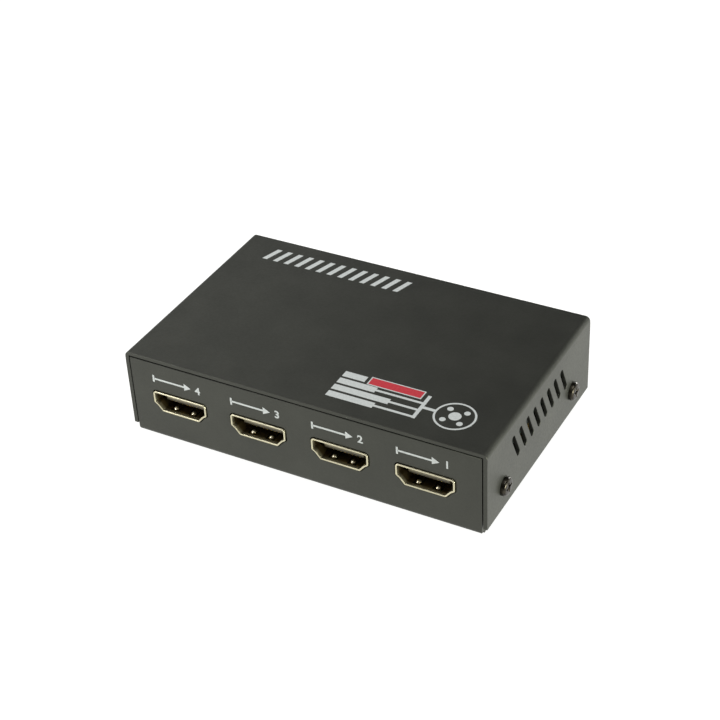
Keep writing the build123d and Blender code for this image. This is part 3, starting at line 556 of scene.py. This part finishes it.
# Bright zinc is pale and slightly blue, with a soft mottled shine
bright_zinc = grained(
    "bright_zinc_plate",
    ("#b4b7ba", "#ccced0"),
    roughness=(0.22, 0.38),
    grain=0.8,
    depth=0.004,
    settings=METAL,
)
carry(["power_switch_frame", "board_screws"], bright_zinc)

# Pressed paper and resin: dull brown with a fibrous grain
base_brown = grained("phenolic_board", ("#5a3c22", "#6b492b"), roughness=(0.55, 0.7), grain=0.4, depth=0.01)
carry(["power_switch_base"], base_brown)

# Acetal: smooth, waxy black with a soft highlight
knob_acetal = grained(
    "moulded_acetal", ("#1c1c1c", "#222222"), roughness=(0.3, 0.38), grain=0.8, depth=0.003
)
knob = merged_copy("power_switch_knob", "sliding_knob")
dress(knob, knob_acetal)
round_edges(knob, KNOB_ROUND)
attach(knob, "switch_knob")
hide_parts("power_switch_knob")


# Lamps
# Five 3 mm lamps of tinted, diffused epoxy: red for power, green for each channel in use.
# They stand on bent legs and their domes look through holes in the rear panel.
def lamp_epoxy(name, deep, pale):
    """Tinted epoxy: a glossy cast skin over a slightly milky body."""
    settings = {"IOR": 1.53, "Subsurface Weight": 0.35, "Subsurface Scale": 0.8 * MM, "Coat Weight": 0.4}
    return grained(name, (deep, pale), roughness=(0.1, 0.16), grain=1.2, depth=0.002, settings=settings)


carry(["power_lamp"], lamp_epoxy("red_cast_epoxy", "#9c1c18", "#b42a24"))
carry(["channel_lamps"], lamp_epoxy("green_cast_epoxy", "#2e8a3c", "#3c9c4a"))


# Rubber feet
# Four stick-on discs die-cut from black polyurethane, under the corners of the tray.
# Their skin is dull and slightly grainy, so they give hardly any highlight.
foot_rubber = grained("moulded_rubber", ("#1a1a19", "#242423"), roughness=(0.7, 0.85), grain=0.5, depth=0.02)
carry(["rubber_feet"], foot_rubber)


# Circuit board and its parts
# Fibreglass board with a green mask, on brass posts; chips, cans and small parts are soldered to it.
# They show only through the vents and around the openings.
TRACK_SPACING = 6.0
MASK_GRAIN = 0.8

# Turned brass is a warm yellow with a close, even shine
posts_brass = grained(
    "turned_brass", ("#b39247", "#c9a95c"), roughness=(0.2, 0.35), grain=0.4, depth=0.003, settings=METAL
)
carry(["board_standoffs"], posts_brass)

# Solder mask over copper: two dark greens over bare fibreglass, a paler one along the tracks
board_mask, tree, shader, place = start_finish("solder_mask", {"Coat Weight": 0.3})
tracks = add_node(
    tree,
    "ShaderNodeTexBrick",
    {
        "Color1": linear("#0f5a34"),
        "Color2": linear("#12663a"),
        "Mortar": linear("#1d8049"),
        "Scale": per_mm(TRACK_SPACING),
        "Mortar Size": 0.03,
        "offset": 0.37,
    },
    {"Vector": place},
)
tree.links.new(tracks.outputs["Color"], shader.inputs["Base Color"])
mask_skin = add_node(
    tree, "ShaderNodeTexNoise", {"Scale": per_mm(MASK_GRAIN), "Detail": 3.0}, {"Vector": place}
)
vary_surface(tree, shader, mask_skin, roughness=(0.25, 0.4))
carry(["circuit_board"], board_mask)

# Chips are moulded in epoxy filled with silica: dull, very dark grey
chip_epoxy = grained(
    "filled_moulding_epoxy", ("#1b1b1c", "#29292a"), roughness=(0.5, 0.65), grain=0.3, depth=0.006
)
carry(
    [
        "splitter_chip",
        "control_chip",
        "memory_chip",
        "voltage_regulators",
        "surge_arrays",
        "small_resistors",
    ],
    chip_epoxy,
)

# The cans' bases are moulded plastic, a little glossier than the chips
base_moulding = grained(
    "black_moulded_base", ("#1a1a1a", "#262626"), roughness=(0.45, 0.6), grain=0.5, depth=0.006
)
carry(["capacitor_bases"], base_moulding)

# Pressed ferrite is matt and slate grey with a fine grit
ferrite = grained("pressed_ferrite", ("#3a3a3c", "#4a4a4c"), roughness=(0.55, 0.75), grain=0.25, depth=0.012)
carry(["power_inductor"], ferrite)

# Fired ceramic is tan and half matt
ceramic = grained("fired_ceramic", ("#a0794c", "#b58c5c"), roughness=(0.4, 0.55), grain=0.3, depth=0.006)
carry(["small_capacitors"], ceramic)

# Drawn aluminium is pale and clear, with light marks from the tool
can_aluminium = grained(
    "drawn_aluminium", ("#bfc1c2", "#d2d3d4"), roughness=(0.2, 0.34), grain=0.6, depth=0.003, settings=METAL
)
carry(["capacitor_cans", "crystal"], can_aluminium)


# Printed marks
# White and red ink screened on the coated steel, then baked: numerals, ON and OFF, lines and blocks.
# They number the sockets and lamps, and mark the switch, the inlet and which way the signal goes.
FINEST_EDGE = 0.035 * MM
CAPITAL_SHARE = 0.729
BOLD_SHARE = 0.035
MITRE_LIMIT = 0.3


def circle(x, y, radius, steps=40):
    """Points of a circle."""
    turns = [2 * math.pi * step / steps for step in range(steps)]
    return [(x + radius * math.cos(turn), y + radius * math.sin(turn)) for turn in turns]


def bar(x0, y0, x1, y1, slant=0.0):
    """Points of a filled bar, its top end moved sideways by the slant."""
    return [(x0, y0), (x1, y0), (x1 + slant, y1), (x0 + slant, y1)]


def stroke(points, width, closed=False):
    """Four-sided pieces that follow a line, mitred where it turns."""
    count = len(points)
    sides = []
    for index, (x, y) in enumerate(points):
        before = points[index - 1] if index or closed else None
        after = points[(index + 1) % count] if index + 1 < count or closed else None
        lines = []
        if before:
            lines.append(Vector((x - before[0], y - before[1])).normalized())
        if after:
            lines.append(Vector((after[0] - x, after[1] - y)).normalized())
        along = sum(lines, Vector((0, 0))).normalized()
        out = Vector((-along.y, along.x))
        first = Vector((-lines[0].y, lines[0].x))
        reach = width / 2 / max(out.dot(first), MITRE_LIMIT)
        sides.append(((x + out.x * reach, y + out.y * reach), (x - out.x * reach, y - out.y * reach)))
    pairs = list(zip(sides, sides[1:] + sides[:1]))
    if not closed:
        pairs.pop()
    return [[a[0], b[0], b[1], a[1]] for a, b in pairs]


def screened(name, shape, panel, ink):
    """Lift flat faces to the ink's thickness, lay them on a panel and let them ride on the case."""
    bmesh.ops.remove_doubles(shape, verts=shape.verts, dist=FINEST_EDGE)
    bmesh.ops.recalc_face_normals(shape, faces=shape.faces)
    lifted = bmesh.ops.extrude_face_region(shape, geom=list(shape.faces), use_keep_orig=True)
    corners = [part for part in lifted["geom"] if isinstance(part, bmesh.types.BMVert)]
    bmesh.ops.translate(shape, verts=corners, vec=(0, 0, PRINT_THICKNESS))
    shape.transform(panel)
    bmesh.ops.recalc_face_normals(shape, faces=shape.faces)
    mesh = bpy.data.meshes.new(name)
    shape.to_mesh(mesh)
    shape.free()
    piece = bpy.data.objects.new(name, mesh)
    bpy.context.collection.objects.link(piece)
    piece.data.materials.append(ink)
    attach(piece, "case")


def printed(name, outlines, panel, ink):
    """Screen outlines, given in millimetres on a panel."""
    shape = bmesh.new()
    for outline in outlines:
        shape.faces.new([shape.verts.new((x * MM, y * MM, 0)) for x, y in outline])
    screened(name, shape, panel, ink)


def lettered(name, words, panel, ink):
    """Screen numerals or a switch's words, each given with its middle and height in millimetres."""
    shape = bmesh.new()
    for text, x, y, height in words:
        curve = bpy.data.curves.new(name, "FONT")
        curve.body = text
        curve.size = height * MM / CAPITAL_SHARE
        curve.offset = height * MM * BOLD_SHARE
        curve.extrude = PRINT_THICKNESS / 2
        curve.resolution_u = 6
        writing = bpy.data.objects.new(name, curve)
        bpy.context.collection.objects.link(writing)
        bpy.context.view_layer.update()
        mesh = bpy.data.meshes.new_from_object(writing.evaluated_get(bpy.context.evaluated_depsgraph_get()))
        bpy.data.objects.remove(writing)
        places = [vertex.co.copy() for vertex in mesh.vertices]
        low = Vector([min(place[axis] for place in places) for axis in range(3)])
        high = Vector([max(place[axis] for place in places) for axis in range(3)])
        mesh.transform(Matrix.Translation(Vector((x * MM, y * MM, 0)) - (low + high) / 2))
        shape.from_mesh(mesh)
    # Only the letters' faces are kept, laid flat
    shape.normal_update()
    sides_and_back = [face for face in shape.faces if face.normal.z < 0.5]
    bmesh.ops.delete(shape, geom=sides_and_back, context="FACES")
    for vertex in shape.verts:
        vertex.co.z = 0
    screened(name, shape, panel, ink)


# Screen ink lies in a thin, slightly uneven layer: matt, its colour a little mottled
white_ink = grained("white_screen_ink", ("#c4c9c7", "#d2d6d4"), roughness=(0.5, 0.6), grain=0.5, depth=0.002)
red_ink = grained("red_screen_ink", ("#bb2c37", "#cb3843"), roughness=(0.5, 0.6), grain=0.5, depth=0.002)

# Panels seen from outside, X to the viewer's right, at the surface that takes the ink
front_panel = Matrix.Translation((0, tray_low.y, 0)) @ Matrix(
    ((1, 0, 0, 0), (0, 0, -1, 0), (0, 1, 0, 0), (0, 0, 0, 1))
)
rear_panel = Matrix.Translation((0, tray_high.y, 0)) @ Matrix(
    ((-1, 0, 0, 0), (0, 0, 1, 0), (0, 1, 0, 0), (0, 0, 0, 1))
)
top_panel = Matrix.Translation((0, 0, case_high.z - PRINT_THICKNESS))

# An arrow and a numeral over each output, placed in millimetres from the middle of its socket
LABEL_LEVEL = 19.2
LABEL_HEIGHT = 2.1
LABEL_PLACE = 5.6
ARROW_START = -6.8
ARROW_END = 1.8
LINE_WIDTH = 0.5
POINT_LENGTH = 1.9
POINT_HALF = 1.0
TAIL_BEHIND = 0.4
TAIL_AHEAD = 0.1


def arrow(start, end, level):
    """A line with a short bar across its start and a point that begins at its end."""
    onward = math.copysign(1, end - start)
    low = level - POINT_HALF
    high = level + POINT_HALF
    return [
        *stroke([(start, level), (end, level)], LINE_WIDTH),
        [(end, low), (end + onward * POINT_LENGTH, level), (end, high)],
        bar(start - onward * TAIL_BEHIND, low, start + onward * TAIL_AHEAD, high),
    ]


numerals = []
arrows = []
for number in (4, 3, 2, 1):
    low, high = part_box(f"output_socket_{number}_shell")
    middle = (low.x + high.x) / 2 / MM
    numerals.append((str(number), middle + LABEL_PLACE, LABEL_LEVEL, LABEL_HEIGHT))
    arrows += arrow(middle + ARROW_START, middle + ARROW_END, LABEL_LEVEL)
lettered("output_numerals", numerals, front_panel, white_ink)
printed("output_arrows", arrows, front_panel, white_ink)

# The diagram on top, near the outputs: a ring with a hub and dots, and a trunk with lines to white blocks
HUB_X = 35.4
HUB_Y = -20.65
HUB_RADIUS = 1.5
RING_RADIUS = 4.8
RING_WIDTH = 0.5
DOT_PLACE = 3.0
DOT_RADIUS = 0.75
TRUNK_X = 27.0
TRUNK_END = -16.1
TRUNK_WIDTH = 0.9
BRANCH_WIDTH = 0.7
BLOCKS_START = 4.7
BLOCK_HALF = 1.0
BLOCK_NECK = 0.5
# Level of each line, and where its block ends
BLOCK_ENDS = {-24.75: 16.8, -22.0: 19.4, -19.3: 14.6}
diagram = stroke(circle(HUB_X, HUB_Y, RING_RADIUS), RING_WIDTH, closed=True)
diagram.append(circle(HUB_X, HUB_Y, HUB_RADIUS))
for turn in (45, 135, 225, 315):
    spot = math.radians(turn)
    dot_x = HUB_X + DOT_PLACE * math.cos(spot)
    dot_y = HUB_Y + DOT_PLACE * math.sin(spot)
    diagram.append(circle(dot_x, dot_y, DOT_RADIUS, 24))
ring_edge = HUB_X - RING_RADIUS - RING_WIDTH / 2
diagram += stroke([(ring_edge, HUB_Y), (TRUNK_X + TRUNK_WIDTH / 2, HUB_Y)], TRUNK_WIDTH)
diagram += stroke([(TRUNK_X, min(BLOCK_ENDS) - TRUNK_WIDTH / 2), (TRUNK_X, TRUNK_END)], TRUNK_WIDTH)
for level, end in BLOCK_ENDS.items():
    diagram += stroke([(TRUNK_X - TRUNK_WIDTH / 2, level), (end + BLOCK_NECK, level)], BRANCH_WIDTH)
    diagram.append(bar(BLOCKS_START, level - BLOCK_HALF, end, level + BLOCK_HALF))
    diagram.append(bar(end, level - BRANCH_WIDTH / 2, end + BLOCK_NECK, level + BRANCH_WIDTH / 2))
printed("top_diagram", diagram, top_panel, white_ink)

# A red block in a white frame beside the lines, with a white block before it
RED_LEFT = 11.6
RED_RIGHT = 25.4
RED_LOW = -17.95
RED_HIGH = -15.15
FRAME_WIDTH = 0.3
WHITE_END = 10.6
WHITE_INSET = 0.35
red_edge = stroke(bar(RED_LEFT, RED_LOW, RED_RIGHT, RED_HIGH), FRAME_WIDTH, closed=True)
red_edge.append(bar(BLOCKS_START, RED_LOW + WHITE_INSET, WHITE_END, RED_HIGH - WHITE_INSET))
printed("top_red_edge", red_edge, top_panel, white_ink)
inset = FRAME_WIDTH / 2
red_block = bar(RED_LEFT + inset, RED_LOW + inset, RED_RIGHT - inset, RED_HIGH - inset)
printed("top_red_block", [red_block], top_panel, red_ink)

# A row of slanted bars on top, near the input, in the manner of the vents
BAR_COUNT = 13
BAR_WIDTH = 1.35 * MM
BAR_HEIGHT = 5.3 * MM
BAR_SLANT = 1.7 * MM
BARS_START = (-39.4 * MM, 19.75 * MM)
BARS_LENGTH = 41.1 * MM
tree, given, result = start_tree(
    "row_of_bars", {"Count": "Int", "Start": "Vector", "Step": "Vector", "Finish": "Material"}
)
row = add_node(
    tree,
    "GeometryNodeMeshLine",
    {"mode": "OFFSET"},
    {
        "Count": given.outputs["Count"],
        "Start Location": given.outputs["Start"],
        "Offset": given.outputs["Step"],
    },
)
placed = add_node(
    tree,
    "GeometryNodeInstanceOnPoints",
    links={"Points": row.outputs["Mesh"], "Instance": given.outputs["Geometry"]},
)
end_tree(tree, given, result, placed.outputs["Instances"])
shape = bmesh.new()
corners = bar(0, 0, BAR_WIDTH, BAR_HEIGHT, BAR_SLANT)
lower = [shape.verts.new((x, y, 0)) for x, y in corners]
upper = [shape.verts.new((x, y, PRINT_THICKNESS)) for x, y in corners]
shape.faces.new(lower)
shape.faces.new(upper)
for index in range(len(corners)):
    following = (index + 1) % len(corners)
    shape.faces.new((lower[index], lower[following], upper[following], upper[index]))
bmesh.ops.recalc_face_normals(shape, faces=shape.faces)
one_bar = bpy.data.meshes.new("one_bar")
shape.to_mesh(one_bar)
shape.free()
bar_step = (BARS_LENGTH - BAR_WIDTH - BAR_SLANT) / (BAR_COUNT - 1)
bars = grow(
    "top_bars",
    one_bar,
    tree,
    {
        "Count": BAR_COUNT,
        "Start": (*BARS_START, case_high.z - PRINT_THICKNESS),
        "Step": (bar_step, 0, 0),
        "Finish": white_ink,
    },
)
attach(bars, "case")

# Rear words: a numeral over each channel lamp, and the switch's two words
LAMP_LABEL_LEVEL = 16.8
LAMP_LABEL_HEIGHT = 1.8
SWITCH_LABEL_LEVEL = 15.6
SWITCH_LABEL_HEIGHT = 1.3
ON_PLACE = -3.9
OFF_PLACE = 1.9
CHANNELS = 4


def from_behind(x):
    """Place across the rear panel in millimetres, to the right as one looks at it."""
    return -x / MM


lamp_low, lamp_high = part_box("channel_lamps")
power_low, power_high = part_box("power_lamp")
jack_low, jack_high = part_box("dc_jack_housing")
knob_low, knob_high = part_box("power_switch_knob")
lamp_radius = (power_high.x - power_low.x) / 2
lamp_step = (lamp_high.x - lamp_low.x - 2 * lamp_radius) / (CHANNELS - 1)
words = []
for index in range(CHANNELS):
    lamp_middle = from_behind(lamp_high.x - lamp_radius - index * lamp_step)
    words.append((str(index + 1), lamp_middle, LAMP_LABEL_LEVEL, LAMP_LABEL_HEIGHT))
switch_middle = from_behind((knob_low.x + knob_high.x) / 2)
words.append(("ON", switch_middle + ON_PLACE, SWITCH_LABEL_LEVEL, SWITCH_LABEL_HEIGHT))
words.append(("OFF", switch_middle + OFF_PLACE, SWITCH_LABEL_LEVEL, SWITCH_LABEL_HEIGHT))
lettered("rear_words", words, rear_panel, white_ink)

# Rear marks: a power sign over its lamp, an arrow into the input, and the inlet's polarity
SIGN_LEVEL = 16.7
SIGN_RADIUS = 0.85
SIGN_WIDTH = 0.3
SIGN_GAP = 40
SIGN_STEP = 20
SIGN_BAR_LOW = 0.05
SIGN_BAR_HIGH = 1.15
INPUT_ARROW_START = 3.4
INPUT_ARROW_END = -6.8
POLARITY_LEVEL = 21.6
SOCKET_RING = 0.75
PIN_DOT = 0.3
WIRE_WIDTH = 0.25
WIRE_END = 3.0
POLE_PLACE = 4.0
POLE_HALF = 0.6
POLE_WIDTH = 0.24
power_middle = from_behind((power_low.x + power_high.x) / 2)
jack_middle = from_behind((jack_low.x + jack_high.x) / 2)
arc = []
for turn in range(SIGN_GAP, 360 - SIGN_GAP + 1, SIGN_STEP):
    spot = math.radians(90 + turn)
    arc.append((power_middle + SIGN_RADIUS * math.cos(spot), SIGN_LEVEL + SIGN_RADIUS * math.sin(spot)))
marks = stroke(arc, SIGN_WIDTH)
sign_bar = [(power_middle, SIGN_LEVEL + SIGN_BAR_LOW), (power_middle, SIGN_LEVEL + SIGN_BAR_HIGH)]
marks += stroke(sign_bar, SIGN_WIDTH)
marks += arrow(INPUT_ARROW_START, INPUT_ARROW_END, LABEL_LEVEL)
marks += stroke(circle(jack_middle, POLARITY_LEVEL, SOCKET_RING, 24), WIRE_WIDTH, closed=True)
marks.append(circle(jack_middle, POLARITY_LEVEL, PIN_DOT, 16))
for start, end in ((-WIRE_END, -SOCKET_RING), (0, WIRE_END)):
    marks += stroke([(jack_middle + start, POLARITY_LEVEL), (jack_middle + end, POLARITY_LEVEL)], WIRE_WIDTH)
# A minus at each end of the wires, and an upright that makes the right one a plus
for pole in (jack_middle - POLE_PLACE, jack_middle + POLE_PLACE):
    marks += stroke([(pole - POLE_HALF, POLARITY_LEVEL), (pole + POLE_HALF, POLARITY_LEVEL)], POLE_WIDTH)
plus = jack_middle + POLE_PLACE
marks += stroke([(plus, POLARITY_LEVEL - POLE_HALF), (plus, POLARITY_LEVEL + POLE_HALF)], POLE_WIDTH)
printed("rear_marks", marks, rear_panel, white_ink)


# Studio
# A white paper floor in a white room, with seven soft lights; none of it belongs to the object.
# The camera stands where the photograph was taken from.
FLOOR_SIZE = 6.0
CAMERA_PLACE = (0.16808, -0.29206, 0.25438)
CAMERA_AIM = (-0.4083, 0.7080, -0.5762)
CAMERA_ROLL = math.radians(-3.07)
CAMERA_LENS = 84.1
CAMERA_SENSOR = 36.0
CAMERA_NEAREST = 0.01
CAMERA_FARTHEST = 20.0

floor_shape = bmesh.new()
bmesh.ops.create_grid(floor_shape, x_segments=1, y_segments=1, size=FLOOR_SIZE / 2)
floor_mesh = bpy.data.meshes.new("studio_floor")
floor_shape.to_mesh(floor_mesh)
floor_shape.free()
floor = bpy.data.objects.new("studio_floor", floor_mesh)
bpy.context.collection.objects.link(floor)

# Paper that glows white where it is seen or reflected, and lights the object as plain pale paper does
paper = bpy.data.materials.new("white_paper")
paper.use_nodes = True
tree = paper.node_tree
tree.nodes.clear()
sheet = add_node(tree, "ShaderNodeBsdfDiffuse", {"Color": linear("#e8e8e6")})
seen_sheet = add_node(tree, "ShaderNodeBsdfDiffuse", {"Color": linear("#7a7a7a")})
glow = add_node(tree, "ShaderNodeEmission", {"Color": (0.97, 0.97, 0.96, 1), "Strength": 1.0})
rays = add_node(tree, "ShaderNodeLightPath")
seen = rays.outputs["Is Camera Ray"]
for ray in ("Is Glossy Ray", "Is Transmission Ray"):
    either = add_node(tree, "ShaderNodeMath", {"operation": "MAXIMUM"}, {0: seen, 1: rays.outputs[ray]})
    seen = either.outputs["Value"]
lit = add_node(
    tree, "ShaderNodeAddShader", links={0: seen_sheet.outputs["BSDF"], 1: glow.outputs["Emission"]}
)
mixed = add_node(
    tree, "ShaderNodeMixShader", links={"Fac": seen, 1: sheet.outputs["BSDF"], 2: lit.outputs["Shader"]}
)
add_node(tree, "ShaderNodeOutputMaterial", links={"Surface": mixed.outputs["Shader"]})
floor.data.materials.append(paper)

# The room is white to the camera, and dim as a light so that the object keeps its tones
world = bpy.data.worlds.new("studio")
world.use_nodes = True
tree = world.node_tree
tree.nodes.clear()
rays = add_node(tree, "ShaderNodeLightPath")
room = add_node(tree, "ShaderNodeBackground", {"Color": (0.12, 0.12, 0.12, 1), "Strength": 1.0})
white = add_node(tree, "ShaderNodeBackground", {"Color": (1, 1, 1, 1), "Strength": 1.0})
mixed = add_node(
    tree,
    "ShaderNodeMixShader",
    links={
        "Fac": rays.outputs["Is Camera Ray"],
        1: room.outputs["Background"],
        2: white.outputs["Background"],
    },
)
add_node(tree, "ShaderNodeOutputWorld", links={"Surface": mixed.outputs["Shader"]})
bpy.context.scene.world = world


def softbox(name, place, width, height, power, colour="#ffffff"):
    """An area light that looks at the object."""
    lamp = bpy.data.lights.new(name, "AREA")
    lamp.energy = power
    lamp.color = linear(colour)[:3]
    lamp.shape = "RECTANGLE"
    lamp.size = width
    lamp.size_y = height
    holder = bpy.data.objects.new(name, lamp)
    holder.location = place
    holder.rotation_euler = (-Vector(place)).to_track_quat("-Z", "Y").to_euler()
    holder.visible_camera = False
    bpy.context.collection.objects.link(holder)


# Each light's place, width and height in metres, and its power in watts
softbox("key_softbox", (-0.22, -0.02, 0.18), 0.12, 0.12, 0.22)
softbox("sheen_softbox", (-0.5, 0.5, 0.5), 0.4, 0.4, 0.42)
softbox("near_softbox", (-0.14, -0.17, 0.06), 0.06, 0.06, 0.12)
softbox("high_softbox", (-0.5, -0.55, 0.75), 0.4, 0.4, 2.0)
softbox("side_softbox", (0.9, -0.12, 0.06), 0.5, 0.1, 13.6, "#fefff3")
softbox("top_softbox", (0.25, -0.1, 0.85), 0.3, 0.3, 2.9)
softbox("rear_strip", (0.0, 0.6, 0.022), 0.5, 0.04, 3.0)

aim = Vector(CAMERA_AIM).normalized()
level_right = aim.cross(Vector((0, 0, 1))).normalized()
level_up = level_right.cross(aim)
camera_right = level_right * math.cos(CAMERA_ROLL) + level_up * math.sin(CAMERA_ROLL)
camera_up = camera_right.cross(aim)
camera_data = bpy.data.cameras.new("photo_camera")
camera_data.lens = CAMERA_LENS
camera_data.sensor_width = CAMERA_SENSOR
camera_data.clip_start = CAMERA_NEAREST
camera_data.clip_end = CAMERA_FARTHEST
camera = bpy.data.objects.new("photo_camera", camera_data)
camera_turn = Matrix((camera_right, camera_up, -aim)).transposed().to_4x4()
camera.matrix_world = Matrix.Translation(CAMERA_PLACE) @ camera_turn
bpy.context.collection.objects.link(camera)
bpy.context.scene.camera = camera
bpy.context.scene.view_settings.view_transform = "Standard"

bpy.context.view_layer.update()
